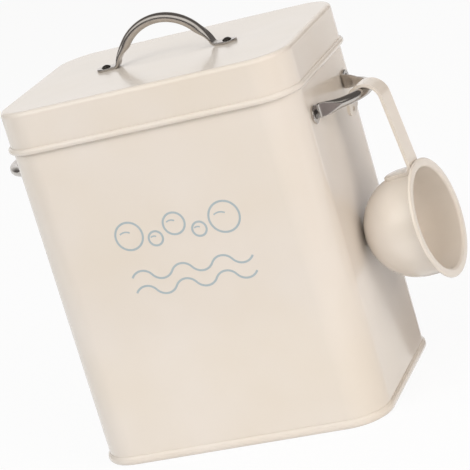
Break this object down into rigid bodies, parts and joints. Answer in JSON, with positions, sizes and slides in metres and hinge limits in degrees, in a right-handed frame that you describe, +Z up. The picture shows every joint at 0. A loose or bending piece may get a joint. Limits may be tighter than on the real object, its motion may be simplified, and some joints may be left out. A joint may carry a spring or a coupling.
{
  "type": "laundry powder storage tin",
  "caption": "Rectangular enamelled storage tin with rounded corners, a deep lift-off lid, riveted bow handles on lid and sides, and a round scoop hung by its hooked stem.",
  "frame": {"origin": "middle of the base, on the plane of the base seam's lower edge, on which the tin stands", "axes": "+X to the side on which the scoop hangs, -Y out of the front wall, +Z up"},
  "size_m": [0.273, 0.1508, 0.265],
  "materials": {
    "enamel": "glossy cream enamel",
    "plated_steel": "polished nickel plate"
  },
  "bodies": {
    "tin": {"tin_wall": "enamel", "base_plate": "enamel", "left_handle": "plated_steel", "right_handle": "plated_steel", "side_rivets": "plated_steel"},
    "lid": {"lid": "enamel", "lid_handle": "plated_steel", "lid_rivets": "plated_steel"},
    "scoop": {"scoop_cup": "enamel", "scoop_handle": "enamel"}
  },
  "joints": [
    {"name": "lid_lift", "type": "slide", "parent": "tin", "child": "lid", "axis": [0, 0, 1], "range_m": [0, 0.2]},
    {"name": "scoop_swing", "type": "hinge", "parent": "tin", "child": "scoop", "pos_m": [0.11969, -0.00361, 0.1833], "axis": [-0.1167, -0.9932, 0], "range_deg": [0, 60]}
  ]
}
